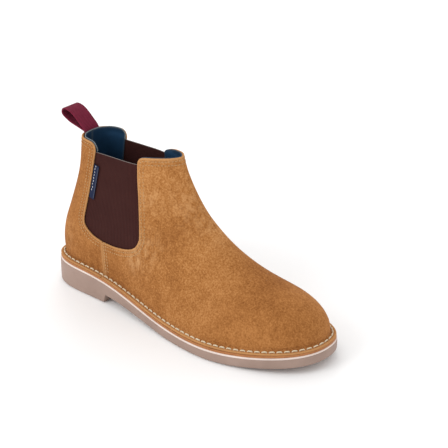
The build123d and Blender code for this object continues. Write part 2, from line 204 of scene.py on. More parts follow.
flange_top = cubic(FLANGE_TOP)
sole_waist = cubic(SOLE_WAIST)
sole_spring = cubic(SOLE_SPRING)
PLAN = closed_points(SOLE_PLAN, 1200)
SHIFT = np.array(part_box("outsole")[0]) - np.array([PLAN[:, 0].min(), PLAN[:, 1].min(), 0]) / 1000


def to_row(points):
    return np.asarray(points, float) / 1000 + SHIFT


def row_point(x, y, z):
    return Vector(to_row([x, y, z]))


# ---------------------------------------------------------------- the upper's form
feather = shifted(PLAN, -FLANGE, True)
feather = np.roll(feather, -int(np.argmin(feather[:, 0])), 0)
TOE = int(np.argmax(feather[:, 0]))
SIDES = {-1: feather[: TOE + 1], 1: np.vstack([feather[TOE:], feather[:1]])[::-1]}
HEEL_POINT, TOE_POINT = feather[0], feather[TOE]
RIDGE_LINE = curve_points(RIDGE, 8000)
BACK_LINE = curve_points(BACK, 8000)
OVER_X = np.concatenate([[x for x, _ in OPEN_RIDGE], RIDGE_LINE[::-1, 0]])
OVER_Z = np.concatenate([[z for _, z in OPEN_RIDGE], RIDGE_LINE[::-1, 1]])


def back_x(z):
    return np.interp(z, BACK_LINE[:, 1], BACK_LINE[:, 0])


def middle(x):
    share = np.clip((x - HEEL_POINT[0]) / (TOE_POINT[0] - HEEL_POINT[0]), 0, 1)
    return HEEL_POINT[1] + (TOE_POINT[1] - HEEL_POINT[1]) * share


def foot_width(x, side):
    line = SIDES[side]
    x = np.clip(x, HEEL_POINT[0], TOE_POINT[0])
    return np.maximum(0, (np.interp(x, line[:, 0], line[:, 1]) - middle(x)) * side)


def width(x, z, side):
    """Half width of the upper at station x and height z, as in the CAD model."""
    low = flange_top(x)
    rise = np.clip((z - low) / np.maximum(np.interp(x, OVER_X, OVER_Z) - low, 1e-3), 0, 1)
    behind = x - back_x(z)
    drawn_in = back_x(z) - HEEL_POINT[0]
    foot = foot_width(x - drawn_in * (1 - smooth_step(behind, 10, 70)), side)
    shaft = 0.55 * smooth_step(z, 38, 152) + 0.45 * np.clip((z - 38) / 114, 0, 1)
    shaft = shaft * (1 - smooth_step(x, 128, 185))
    round_off = 1 - (1 - np.clip(behind / SHAFT_BACK_ROUND, 0, 1)) ** SHAFT_BACK_POWER
    ring = SHAFT_HALF_WIDTH * np.maximum(0, round_off) ** (1 / SHAFT_BACK_POWER)
    taper = 0.38 * smooth_step(x, 95, 150) * (1 - smooth_step(x, 170, 262))
    taper = taper + 0.04 * smooth_step(x, 150, 240)
    power = 2.0 + 0.7 * smooth_step(x, 215, 275)
    over = (1 - taper * rise) * np.sqrt(np.maximum(0, 1 - rise**power))
    hollow = 0.06 * np.sin(math.pi * rise) * smooth_step(x, 150, 200) * (1 - smooth_step(x, 250, 290))
    lean = 1 - hollow if side < 0 else 1.0
    return ((1 - shaft) * foot + shaft * ring) * over * lean


# The skin has two coordinates. a runs round the boot: 0 at the back seam, AROUND / 2 at the
# ridge in front, AROUND at the back seam again. v runs up: below 0 it crosses the flange
# outwards, from 0 to FILLET_RUN it turns up through the fillet, and above that it climbs the wall.
AROUND = 640.0
CLIMB = 235.0
FILLET = 1.7
FILLET_RUN = FILLET * math.pi / 2
WALL_FOOT = 0.008
FLANGE_OUT = FLANGE - FLANGE_EDGE - FILLET


def wall(a, t):
    """The bare wall at round-coordinate a and height share t."""
    a, t = np.broadcast_arrays(np.asarray(a, float), np.asarray(t, float))
    k = np.clip(t, 0, 1) * (len(RIDGE_LINE) - 1)
    steps = np.arange(len(RIDGE_LINE))
    front = [np.interp(k, steps, RIDGE_LINE[:, c]) for c in (0, 1)]
    back = [np.interp(k, steps, BACK_LINE[:, c]) for c in (0, 1)]
    phi = (a / AROUND) % 1.0
    share = (1 - np.cos(2 * np.pi * phi)) / 2
    x = back[0] + (front[0] - back[0]) * share
    base = flange_top(back[0]) + (flange_top(front[0]) - flange_top(back[0])) * share
    z = back[1] + (front[1] - back[1]) * share + (flange_top(x) - base) * (1 - t) ** 2
    y = np.where(phi <= 0.5, middle(x) - width(x, z, -1), middle(x) + width(x, z, 1))
    return np.stack([x, y, z], -1)


def plan_normal(a):
    step = 1.5
    along = wall(a + step, WALL_FOOT) - wall(a - step, WALL_FOOT)
    along = unit(along[..., :2])
    return np.stack([along[..., 1], -along[..., 0], np.zeros(along.shape[:-1])], -1)


def relief(p):
    """Soft unevenness of the lasted suede, in mm."""
    x, y, z = p[..., 0], p[..., 1], p[..., 2]
    waves = np.sin(x / 9.3 + 0.7 * np.sin(z / 11.0)) * np.sin(z / 7.9 + y / 17.0 + 1.3)
    waves = waves + 0.8 * np.sin(x / 17.0 - y / 13.0 + 0.4) * np.sin(z / 19.0 + x / 31.0)
    crease = np.sin((x * 0.8 + z * 0.6) / 5.2 + 0.5 * np.sin(y / 9.0))
    crease = crease * np.exp(-(((x - 196) / 34) ** 2) - (((z - 66) / 26) ** 2))
    return 0.13 * waves + 0.10 * crease


def skin_bare(a, v):
    a, v = np.broadcast_arrays(np.asarray(a, float), np.asarray(v, float))
    t = WALL_FOOT + np.maximum(v - FILLET_RUN, 0) / CLIMB
    p = wall(a, t)
    turn = np.clip(v / FILLET, 0, math.pi / 2)
    out = FILLET * (1 - np.sin(turn)) + np.maximum(-v, 0)
    low = v < FILLET_RUN
    q = p + plan_normal(a) * out[..., None]
    rise = p[..., 2] - flange_top(p[..., 0])
    q[..., 2] = flange_top(q[..., 0]) + rise * (1 - np.cos(turn))
    return np.where(low[..., None], q, p)


def skin_frame(a, v):
    """Position, outward normal and the two tangents of the skin."""
    step = 0.6
    p = skin_bare(a, v)
    du = (skin_bare(a + step, v) - skin_bare(a - step, v)) / (2 * step)
    dv = (skin_bare(a, v + step) - skin_bare(a, v - step)) / (2 * step)
    n = unit(np.cross(du, dv))
    fade = smooth_step(v, 0, 12)[..., None]
    return p + n * (relief(p)[..., None] * fade), n, du, dv


def on_skin(xz, side):
    """(a, v) of points given by station and height on one side of the boot."""
    xz = np.array(xz, float)
    x, z = xz[:, 0], xz[:, 1]
    low, high = np.zeros(len(x)), np.ones(len(x))
    steps = np.arange(len(RIDGE_LINE))
    for _ in range(40):
        t = (low + high) / 2
        k = t * (len(steps) - 1)
        fx, fz = (np.interp(k, steps, RIDGE_LINE[:, c]) for c in (0, 1))
        bx, bz = (np.interp(k, steps, BACK_LINE[:, c]) for c in (0, 1))
        share = np.clip((x - bx) / (fx - bx), 0, 1)
        base = flange_top(bx) + (flange_top(fx) - flange_top(bx)) * share
        height = bz + (fz - bz) * share + (flange_top(x) - base) * (1 - t) ** 2
        low, high = np.where(height < z, t, low), np.where(height < z, high, t)
    a = AROUND * np.arccos(1 - 2 * share) / (2 * np.pi)
    a = a if side < 0 else AROUND - a
    return np.column_stack([a, FILLET_RUN + (t - WALL_FOOT) * CLIMB])


# ---------------------------------------------------------------- meshes
def set_attribute(mesh, name, values):
    attribute = mesh.attributes.new(name, "FLOAT", "POINT")
    attribute.data.foreach_set("value", np.asarray(values, np.float32))


def sweep_rings(line, side, up, size, around, wide=1.0, tall=1.0):
    """Rings of points round line, size apart from it, in the directions side and up."""
    turns = np.linspace(0, 2 * np.pi, around, endpoint=False)
    sides, ups = np.cos(turns) * wide, np.sin(turns) * tall
    return np.vstack([line[i] + size[i] * (np.outer(sides, side[i]) + np.outer(ups, up[i]))
                      for i in range(len(line))])


def sweep_faces(rows, around, first=0, flip=False):
    """Quads between successive rings, and a cap on each end."""
    faces = []
    for i in range(rows - 1):
        near, far = first + i * around, first + (i + 1) * around
        for j in range(around):
            j2 = (j + 1) % around
            faces.append([near + j, near + j2, far + j2, far + j])
    faces.append([first + j for j in range(around)][::-1])
    faces.append([first + (rows - 1) * around + j for j in range(around)])
    return [face[::-1] for face in faces] if flip else faces


def new_object(name, verts, faces, material, smooth=True, edge=None):
    mesh = bpy.data.meshes.new(name)
    mesh.from_pydata([tuple(p) for p in to_row(verts).tolist()], [], faces)
    mesh.validate()
    mesh.polygons.foreach_set("use_smooth", [smooth] * len(mesh.polygons))
    if edge is not None:
        set_attribute(mesh, "edge", edge)
    mesh.materials.append(material)
    mesh.update()
    obj = bpy.data.objects.new(name, mesh)
    bpy.context.scene.collection.objects.link(obj)
    return obj


def inside(points, polygon):
    x, y = points[:, 0], points[:, 1]
    result = np.zeros(len(points), bool)
    for (x0, y0), (x1, y1) in zip(polygon, np.roll(polygon, -1, 0)):
        if y0 == y1:
            continue
        hit = ((y0 > y) != (y1 > y)) & (x < (x1 - x0) * (y - y0) / (y1 - y0) + x0)
        result ^= hit
    return result


def gap_to(points, line):
    """Distance in (a, v) from each point to the nearest vertex of line."""
    gaps = np.empty(len(points))
    for start in range(0, len(points), 4000):
        block = points[start : start + 4000]
        gaps[start : start + 4000] = np.sqrt(
            ((block[:, None, :] - line[None, :, :]) ** 2).sum(-1).min(1))
    return gaps


def edge_out(path, closed=True):
    """Unit directions in the skin, square to path and to its right, with their (a, v) steps."""
    p, n, du, dv = skin_frame(path[:, 0], path[:, 1])
    if closed:
        along = np.roll(p, -1, 0) - np.roll(p, 1, 0)
    else:
        along = np.gradient(p, axis=0)
    out = unit(np.cross(unit(along), n))
    uu, uv, vv = (du * du).sum(1), (du * dv).sum(1), (dv * dv).sum(1)
    ou, ov = (out * du).sum(1), (out * dv).sum(1)
    det = np.maximum(uu * vv - uv * uv, 1e-9)
    step = np.column_stack([(ou * vv - ov * uv) / det, (ov * uu - ou * uv) / det])
    return p, n, out, step


def moved(path, distance, closed=False):
    """A path on the skin moved to its left by distance, in mm."""
    line = np.array(path, float)
    parts = max(1, int(abs(distance) / 1.5))
    for _ in range(parts):
        step = edge_out(line, closed)[3]
        line = line - step * (distance / parts)
        line = line if closed else smooth_line(line)
    return line


def smooth_line(line, rounds=2):
    for _ in range(rounds):
        line[1:-1] = (line[:-2] + 2 * line[1:-1] + line[2:]) / 4
    return line


def turn_sign(p, q, r):
    return np.sign((q[:, 0] - p[:, 0]) * (r[:, 1] - p[:, 1]) - (q[:, 1] - p[:, 1]) * (r[:, 0] - p[:, 0]))


def without_folds(path, reach=9):
    """A closed path with the small loops taken out that an inset leaves at tight corners."""
    line = np.array(path)
    for _ in range(6):
        drop = np.zeros(len(line), bool)
        after = np.roll(line, -1, 0)
        for k in range(2, reach):
            c, d = np.roll(line, -k, 0), np.roll(after, -k, 0)
            split = turn_sign(line, after, c) * turn_sign(line, after, d) < 0
            split &= turn_sign(c, d, line) * turn_sign(c, d, after) < 0
            for i in np.nonzero(split)[0]:
                drop[[(i + m) % len(line) for m in range(1, k + 1)]] = True
        if not drop.any():
            break
        line = line[~drop]
    return line


def triangulate(name, flat, count):
    """Triangles between the points of flat, inside the closed loop of its first count points."""
    found = delaunay_2d_cdt([Vector(q) for q in flat.tolist()], [], [list(range(count))], 1, 1e-5)
    order = [own[0] if own else -1 for own in found[3]]
    if -1 in order:
        raise ValueError(f"{name}: the outline crosses itself")
    return [[order[i] for i in face] for face in found[2]]


def rim_faces(count, starts, flip):
    """Quads between closed loops of count points, given the first point of each."""
    quads = [[a + i, a + (i + 1) % count, b + (i + 1) % count, b + i]
             for a, b in zip(starts, starts[1:]) for i in range(count)]
    return [quad[::-1] for quad in quads] if flip else quads


def panel(name, outline, thickness, depth, material, fine=1.0, coarse=2.2, near=9.0, stitch_at=()):
    """A closed sheet of leather or cloth cut to outline, with round cut edges.

    outline is a closed path in (a, v) with the panel on its left. depth is how far its outer face
    lies under the skin."""
    half = thickness / 2
    rim_path = np.array(outline, float)
    for _ in range(3):
        rim_path = (np.roll(rim_path, 1, 0) + 2 * rim_path + np.roll(rim_path, -1, 0)) / 4
    step = edge_out(rim_path)[3]
    rim_path = without_folds(rim_path - step * half)
    p, n, out, _ = edge_out(rim_path)
    low, high = rim_path.min(0), rim_path.max(0)
    grids = []
    for spacing, is_fine in ((fine, True), (coarse, False)):
        row_step = spacing * 0.87
        rows = np.arange(low[1], high[1], row_step)
        for k, v in enumerate(rows):
            cols = np.arange(low[0] + (k % 2) * spacing / 2, high[0], spacing)
            grids.append(np.column_stack([cols, np.full(len(cols), v), np.full(len(cols), is_fine)]))
    points = np.vstack(grids)
    points = points[inside(points[:, :2], rim_path)]
    gaps = gap_to(points[:, :2], rim_path)
    keep = np.where(points[:, 2] > 0.5, (gaps < near) & (gaps > fine * 0.75), gaps > near + fine * 0.5)
    points, gaps = points[keep, :2], gaps[keep]
    count = len(rim_path)
    flat = np.vstack([rim_path, points])
    triangles = triangulate(name, flat, count)
    q, m, _, _ = skin_frame(flat[:, 0], flat[:, 1])
    gap_all = np.concatenate([np.zeros(count), gaps])
    dip = np.zeros(len(flat))
    for d in stitch_at:
        dip = dip - 0.25 * np.exp(-(((gap_all - d + half) / 0.8) ** 2))
    face_depth = depth(q) if callable(depth) else np.full(len(q), float(depth))
    rim_depth = face_depth[:count]
    top = q + m * (dip - face_depth)[:, None]
    bottom = q - m * (face_depth + thickness)[:, None]
    turns = np.linspace(math.pi / 2, -math.pi / 2, 7)[1:-1]
    rings = [p - n * (rim_depth + half)[:, None] + half * (n * math.sin(w) + out * math.cos(w))
             for w in turns]
    verts = np.vstack([top, bottom] + rings)
    total = len(flat)
    if signed_area(rim_path) < 0:
        raise ValueError(f"{name}: the outline runs the wrong way")
    faces = triangles + [[i + total for i in f[::-1]] for f in triangles]
    starts = [0] + [2 * total + k * count for k in range(len(rings))] + [total]
    faces += rim_faces(count, starts, flip=True)
    edge = np.concatenate([np.exp(-gap_all / 0.9), np.exp(-gap_all / 0.9), np.ones(count * len(rings))])
    return new_object(name, verts, faces, material, edge=edge)


def thread_rows(name, rows, material):
    """Sewn rows as one mesh. Each row is (path, pitch, length, radius, depth)."""
    verts, faces = [], []
    across, around = 7, 6
    for path, pitch, length, radius, depth in rows:
        p, n, _, _ = skin_frame(path[:, 0], path[:, 1])
        run = run_length(p)
        count = max(1, int(round(run[-1] / pitch)))
        for k in range(count):
            centre = (k + 0.5) * run[-1] / count
            at = centre + np.linspace(-0.5, 0.5, across) * length
            line, up = columns(at, run, p), unit(columns(at, run, n))
            s = np.linspace(-1, 1, across)
            line = line + up * (radius * 0.85 - (0.25 + 1.6 * radius) * s**6 - depth)[:, None]
            side = np.cross(unit(np.gradient(line, axis=0)), up)
            faces += sweep_faces(across, around, len(verts) * across * around)
            verts.append(sweep_rings(line, side, up, radius * (1 - 0.25 * s**4), around, 1.1, 0.9))
    return new_object(name, np.vstack(verts), faces, material)


def tube(name, line, up, radius, material):
    """A round cord along line."""
    around = 10
    side = unit(np.cross(unit(np.gradient(line, axis=0)), up))
    verts = sweep_rings(line, side, up, np.full(len(line), radius), around)
    return new_object(name, verts, sweep_faces(len(line), around), material)


# ---------------------------------------------------------------- materials
class Look:
    """A material under construction, with short ways to add its nodes."""

    def __init__(self, name, color, roughness, sheen=0.0, specular=0.3):
        self.material = bpy.data.materials.new(name)
        self.material.use_nodes = True
        self.tree = self.material.node_tree
        self.shader = self.tree.nodes["Principled BSDF"]
        self.shader.inputs["Base Color"].default_value = (*color, 1)
        self.shader.inputs["Roughness"].default_value = roughness
        self.shader.inputs["Specular IOR Level"].default_value = specular
        self.shader.inputs["Sheen Weight"].default_value = sheen
        self.shader.inputs["Sheen Roughness"].default_value = 0.5
        self.shader.inputs["Sheen Tint"].default_value = (*[min(1, c * 1.6 + 0.12) for c in color], 1)
        self.place = self.add("ShaderNodeTexCoord").outputs["Object"]
        self.normal = None

    def add(self, kind, **values):
        node = self.tree.nodes.new(kind)
        for key, value in values.items():
            setattr(node, key, value)
        return node

    def link(self, source, target):
        self.tree.links.new(source, target)

    def noise(self, scale, detail=4.0, rough=0.55, stretch=(1, 1, 1), distortion=0.0):
        mapping = self.add("ShaderNodeMapping")
        mapping.inputs["Scale"].default_value = stretch
        node = self.add("ShaderNodeTexNoise")
        node.inputs["Scale"].default_value = scale
        node.inputs["Detail"].default_value = detail
        node.inputs["Roughness"].default_value = rough
        node.inputs["Distortion"].default_value = distortion
        self.link(self.place, mapping.inputs["Vector"])
        self.link(mapping.outputs["Vector"], node.inputs["Vector"])
        return node.outputs["Fac"]

    def wave(self, scale, direction="X", distortion=0.0):
        node = self.add("ShaderNodeTexWave", bands_direction=direction, wave_profile="SIN")
        node.inputs["Scale"].default_value = scale
        node.inputs["Distortion"].default_value = distortion
        self.link(self.place, node.inputs["Vector"])
        return node.outputs["Fac"]

    def attribute(self, name):
        return self.add("ShaderNodeAttribute", attribute_name=name).outputs["Fac"]

    def math(self, operation, a, b):
        node = self.add("ShaderNodeMath", operation=operation)
        for socket, value in zip(node.inputs, (a, b)):
            if isinstance(value, (int, float)):
                socket.default_value = value
            else:
                self.link(value, socket)
        return node.outputs[0]

    def weigh(self, *terms):
        """The sum of some (value, weight) terms."""
        total = None
        for value, weight in terms:
            term = self.math("MULTIPLY", value, weight)
            total = term if total is None else self.math("ADD", total, term)
        return total

    def ramp(self, factor, *stops):
        node = self.add("ShaderNodeValToRGB")
        elements = node.color_ramp.elements
        while len(elements) < len(stops):
            elements.new(0.5)
        for element, (at, color) in zip(elements, stops):
            element.position = at
            element.color = (*color, 1) if len(color) == 3 else color
        self.link(factor, node.inputs["Fac"])
        return node.outputs["Color"]

    def mix(self, factor, a, b, mode="MIX"):
        node = self.add("ShaderNodeMix", data_type="RGBA", blend_type=mode)
        for socket, value in ((node.inputs["Factor"], factor), (node.inputs[6], a), (node.inputs[7], b)):
            if isinstance(value, tuple):
                socket.default_value = (*value, 1)
            elif isinstance(value, (int, float)):
                socket.default_value = value
            else:
                self.link(value, socket)
        return node.outputs[2]

    def color(self, source):
        self.link(source, self.shader.inputs["Base Color"])

    def rough(self, factor, low, high):
        node = self.add("ShaderNodeMapRange")
        node.inputs["To Min"].default_value = low
        node.inputs["To Max"].default_value = high
        self.link(factor, node.inputs["Value"])
        self.link(node.outputs["Result"], self.shader.inputs["Roughness"])

    def bump(self, height, strength, distance):
        node = self.add("ShaderNodeBump")
        node.inputs["Strength"].default_value = strength
        node.inputs["Distance"].default_value = distance
        self.link(height, node.inputs["Height"])
        if self.normal is not None:
            self.link(self.normal, node.inputs["Normal"])
        self.normal = node.outputs["Normal"]
        self.link(self.normal, self.shader.inputs["Normal"])


def suede_look():
    look = Look("suede", (0.41, 0.165, 0.05), 0.95, sheen=0.16, specular=0.08)
    broad = look.noise(15, 3, 0.5, distortion=0.3)
    patches = look.noise(70, 5, 0.62, stretch=(1, 1, 1.4), distortion=0.5)
    strokes = look.noise(210, 4, 0.65, stretch=(1.0, 1.0, 0.5))
    nap = look.noise(620, 4, 0.7)
    tone = look.weigh((broad, 0.26), (patches, 0.11), (strokes, 0.14), (nap, 0.49))
    color = look.ramp(tone, (0.40, (0.255, 0.094, 0.024)), (0.5, (0.395, 0.163, 0.046)),
                      (0.60, (0.540, 0.262, 0.096)))
    # Painted shade: towards the toe, at the back and along the low band, the suede's colour is mixed towards
    # a darker copy of its tone.
    color = look.mix(look.math("MULTIPLY", look.attribute("painted_shade"), 0.8), color,
                     look.ramp(tone, (0.40, (0.20, 0.068, 0.016)), (0.60, (0.42, 0.172, 0.049))))
    brushed = look.ramp(strokes, (0.40, (0, 0, 0)), (0.62, (1, 1, 1)))
    rub = look.math("MULTIPLY", look.attribute("rub"), brushed)
    color = look.mix(look.math("MULTIPLY", rub, 0.6), color, (0.62, 0.35, 0.16))
    color = look.mix(look.math("MULTIPLY", look.attribute("edge"), 0.6), color, (0.56, 0.30, 0.125))
    look.color(color)
    look.bump(patches, 0.3, 0.0012)
    look.bump(strokes, 0.35, 0.0006)
    look.bump(nap, 0.7, 0.0006)
    look.bump(look.noise(1900, 2, 0.6), 0.4, 0.00025)
    return look.material


def elastic_look():
    look = Look("elastic", (0.050, 0.017, 0.015), 0.9, sheen=0.04, specular=0.12)
    fibres = look.noise(1300, 3, 0.6)
    dye = look.ramp(look.noise(60, 3), (0.3, (0.036, 0.010, 0.009)), (0.7, (0.053, 0.0165, 0.014)))
    # Painted shade: the elastic is darker in the troughs between its ribs.
    color = look.ramp(look.attribute("rib"), (0.0, (0.030, 0.0085, 0.0075)), (0.55, (0.046, 0.0135, 0.0115)),
                      (1.0, (0.054, 0.017, 0.0145)))
    color = look.mix(0.35, color, dye)
    color = look.mix(look.attribute("edge"), color, (0.30, 0.27, 0.25))
    look.color(color)
    weft = look.wave(420, "Z", 1.5)
    look.bump(weft, 0.35, 0.0003)
    look.bump(fibres, 0.3, 0.0002)
    return look.material


def lining_look():
    look = Look("lining", (0.006, 0.030, 0.072), 0.8, sheen=0.05, specular=0.2)
    broad = look.noise(40, 4)
    color = look.ramp(broad, (0.3, (0.004, 0.024, 0.058)), (0.7, (0.008, 0.042, 0.095)))
    color = look.mix(look.math("MULTIPLY", look.attribute("edge"), 0.6), color, (0.06, 0.08, 0.10))
    look.color(color)
    look.bump(look.math("ADD", look.wave(330, "DIAGONAL"), look.wave(330, "Z")), 0.3, 0.0002)
    return look.material


def rubber_look(name, low, high, speck):
    look = Look(name, high, 0.55, specular=0.35)
    broad = look.noise(30, 4)
    grain = look.noise(900, 3, 0.7)
    color = look.ramp(broad, (0.3, low), (0.7, high))
    color = look.mix(look.ramp(grain, (0.62, (0, 0, 0)), (0.75, (0.4, 0.4, 0.4))), color, speck)
    scuff = look.noise(140, 5, 0.7, stretch=(1, 1, 4))
    color = look.mix(look.ramp(scuff, (0.60, (0, 0, 0)), (0.78, (0.35, 0.35, 0.35))), color,
                     tuple(c * 0.72 for c in low))
    look.color(color)
    look.rough(scuff, 0.42, 0.72)
    look.bump(grain, 0.25, 0.0002)
    look.bump(scuff, 0.15, 0.0005)
    return look.material


def leather_look(name, dark, light, roughness=0.6):
    look = Look(name, light, roughness, specular=0.35)
    layers = look.noise(220, 4, 0.6, stretch=(0.5, 0.5, 8))
    grain = look.noise(700, 4, 0.6)
    look.color(look.ramp(look.weigh((layers, 0.6), (grain, 0.4)), (0.36, dark), (0.64, light)))
    look.rough(grain, roughness - 0.1, roughness + 0.15)
    look.bump(layers, 0.3, 0.0004)
    look.bump(grain, 0.3, 0.0002)
    return look.material


def thread_look(name, dark, light):
    look = Look(name, light, 0.7, sheen=0.2, specular=0.3)
    twist = look.wave(900, "DIAGONAL", 2.0)
    broad = look.noise(300, 3)
    look.color(look.ramp(look.weigh((twist, 0.5), (broad, 0.5)), (0.25, dark), (0.7, light)))
    look.bump(twist, 0.6, 0.0003)
    return look.material


def webbing_look():
    look = Look("webbing", (0.17, 0.010, 0.030), 0.8, sheen=0.1, specular=0.15)
    # Painted shade: the webbing is darker in the troughs between its ribs than on their crests.
    color = look.ramp(look.attribute("rib"), (0.0, (0.030, 0.0015, 0.006)), (0.5, (0.125, 0.007, 0.024)),
                      (1.0, (0.250, 0.022, 0.058)))
    dye = look.ramp(look.noise(220, 4), (0.3, (0.09, 0.004, 0.015)), (0.7, (0.21, 0.017, 0.043)))
    look.color(look.mix(0.3, color, dye))
    look.bump(look.noise(1800, 3, 0.6), 0.4, 0.0002)
    return look.material


def label_look():
    look = Look("label", (0.012, 0.020, 0.055), 0.75, sheen=0.08, specular=0.15)
    weave = look.math("ADD", look.wave(600, "Z"), look.wave(600, "X"))
    navy = look.ramp(weave, (0.2, (0.005, 0.009, 0.030)), (0.9, (0.013, 0.021, 0.060)))
    look.color(look.mix(look.attribute("mark"), navy, (0.72, 0.70, 0.66)))
    look.bump(weave, 0.4, 0.0002)
    return look.material


SUEDE_LOOK = suede_look()
ELASTIC_LOOK = elastic_look()
LINING_LOOK = lining_look()
OUTSOLE_LOOK = rubber_look("outsole", (0.30, 0.205, 0.165), (0.375, 0.262, 0.215), (0.47, 0.35, 0.30))
WHITE_LOOK = rubber_look("white_midsole", (0.68, 0.56, 0.50), (0.82, 0.71, 0.65), (0.86, 0.79, 0.74))
MIDSOLE_LOOK = leather_look("leather_midsole", (0.30, 0.105, 0.030), (0.50, 0.215, 0.075))
SOCK_LOOK = leather_look("sock", (0.20, 0.11, 0.05), (0.36, 0.21, 0.11), 0.5)
WELT_LOOK = thread_look("welt_thread", (0.62, 0.48, 0.30), (0.88, 0.76, 0.56))
SEAM_LOOK = thread_look("seam_thread", (0.40, 0.22, 0.09), (0.68, 0.45, 0.23))
PIPING_LOOK = thread_look("piping", (0.10, 0.12, 0.13), (0.22, 0.25, 0.26))
WEBBING_LOOK = webbing_look()
LABEL_LOOK = label_look()
STEEL_LOOK = rubber_look("steel", (0.30, 0.30, 0.31), (0.50, 0.50, 0.52), (0.6, 0.6, 0.6))
BOARD_LOOK = leather_look("board", (0.28, 0.20, 0.12), (0.46, 0.34, 0.22), 0.8)
STIFF_LOOK = leather_look("stiffener", (0.42, 0.36, 0.27), (0.60, 0.53, 0.41), 0.8)

# ---------------------------------------------------------------- outlines on the skin
FLANGE_V = -FLANGE_OUT


def flange_run(a_from, a_to):
    """Along the flange's outer edge."""
    count = int(abs(a_to - a_from) / 1.3)
    return np.column_stack([np.linspace(a_from, a_to, count), np.full(count, FLANGE_V)])


def side_run(points, side, smooth=True, spacing=0.9):
    """A side-view line laid on the skin."""
    line = curve_points(points, 200) if smooth else np.array(points, float)
    line = resample(line, 0.5)
    return resample(on_skin(line, side), spacing)


def seam_run(side):
    """Up the side seam, from the flange's edge to the gore."""
    low_z = float(flange_top(SEAM_FOOT_X)) + 4
    wall_part = on_skin(resample([(SEAM_FOOT_X - 0.3, low_z), SEAM_TOP], 0.6), side)
    foot = wall_part[0]
    below = resample([(foot[0], FLANGE_V), tuple(foot)], 0.9)
    return resample(np.vstack([below[:-1], wall_part]), 0.9)


def joined(*runs):
    """One closed path from runs that meet end to end."""
    return np.vstack([run[:-1] for run in runs])


TOPLINE_FRONT = [(109.2, 144.0), (109.5, 147.4), (111.4, 150.4), (115.5, 151.9), (122, 152.6),
                 (132, 153.6), (141, 154.4), (144.2, 154.6)]
TOPLINE_MEDIAL = [(109.2, 144.0), (109.9, 145.8), (112.4, 147.6), (116.5, 149.2), (123, 151.0),
                  (132, 152.9), (141, 154.3), (144.2, 154.6)]
TOPLINES = {-1: TOPLINE_FRONT, 1: TOPLINE_MEDIAL}
QUARTER_TOP = [(32.6, 153.5), (36, 153.5), (44, 153.5), (52.5, 153.4), (57.0, 152.2),
               (59.4, 149.2), (59.8, 144.0)]
foot_back = [p for p in GORE_FOOT if p[0] <= 68.0]
foot_front = [p for p in GORE_FOOT if p[0] >= 68.0]


def vamp_edges(side):
    """The vamp's edge against the gore and along the topline, from the side seam to the ridge."""
    return [side_run(points, side) for points in (foot_front, GORE_FRONT, TOPLINES[side])]


def vamp_outline():
    lateral, medial = ([seam_run(side), *vamp_edges(side)] for side in (-1, 1))
    below = flange_run(lateral[0][0, 0], medial[0][0, 0])
    return joined(below, *medial, *[run[::-1] for run in lateral[::-1]])


def quarter_outline(side):
    seam = seam_run(side)
    foot = side_run(foot_back, side)
    back = side_run(GORE_BACK, side)
    top = side_run(QUARTER_TOP, side)
    up_back = np.column_stack([np.full(160, 0.0), np.linspace(FLANGE_V, top[0, 1], 160)])
    if side > 0:
        up_back[:, 0] = AROUND
        top[0, 0] = AROUND
        runs = [flange_run(seam[0, 0], AROUND), up_back, top, back, foot, seam[::-1]]
    else:
        top[0, 0] = 0.0
        runs = [flange_run(0.0, seam[0, 0]), seam, foot[::-1], back[::-1], top[::-1], up_back[::-1]]
    return joined(*runs)


# ---------------------------------------------------------------- upper
RUBS = [((118, -26, 64), 13, 1.0), ((128, -26, 72), 14, 0.6), ((160, -14, 118), 16, 0.5),
        ((122, -20, 112), 12, 0.5), ((112, -30, 54), 10, 0.8),
        ((180, 0, 98), 20, 0.4), ((118, 26, 64), 13, 0.8), ((24, -22, 52), 14, 0.3)]


# Besides the paler worn patches, this paints shade into the suede: darker towards the toe, at the back and
# along the low band near the welt.
def add_rub_and_painted_shade(obj):
    co = np.array([v.co for v in obj.data.vertices], float)
    points = (co - SHIFT) * 1000
    # Painted shade: the suede's colour is darkened towards the toe, at the back of the heel and along the
    # low band above the welt.
    painted_shade = smooth_step(points[:, 0], 165, 255) + smooth_step(-points[:, 0], -105, -45)
    painted_shade += 0.35 * (1 - smooth_step(points[:, 2], 22, 62))
    set_attribute(obj.data, "painted_shade", np.clip(painted_shade, 0, 1))
    rub = np.zeros(len(points))
    for centre, radius, strength in RUBS:
        rub += strength * np.exp(-((points - np.array(centre)) ** 2).sum(1) / radius**2)
    set_attribute(obj.data, "rub", np.clip(rub, 0, 1))


def suede_panel(name, outline, node):
    obj = panel(name, outline, SUEDE, 0.0, SUEDE_LOOK, stitch_at=SEAM_ROWS)
    add_rub_and_painted_shade(obj)
    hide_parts(node)
    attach(obj, "boot")
    return obj


def upper():
    suede_panel("vamp_suede", vamp_outline(), "vamp")
    suede_panel("quarter_lateral_suede", quarter_outline(-1), "quarter_lateral")
    suede_panel("quarter_medial_suede", quarter_outline(1), "quarter_medial")


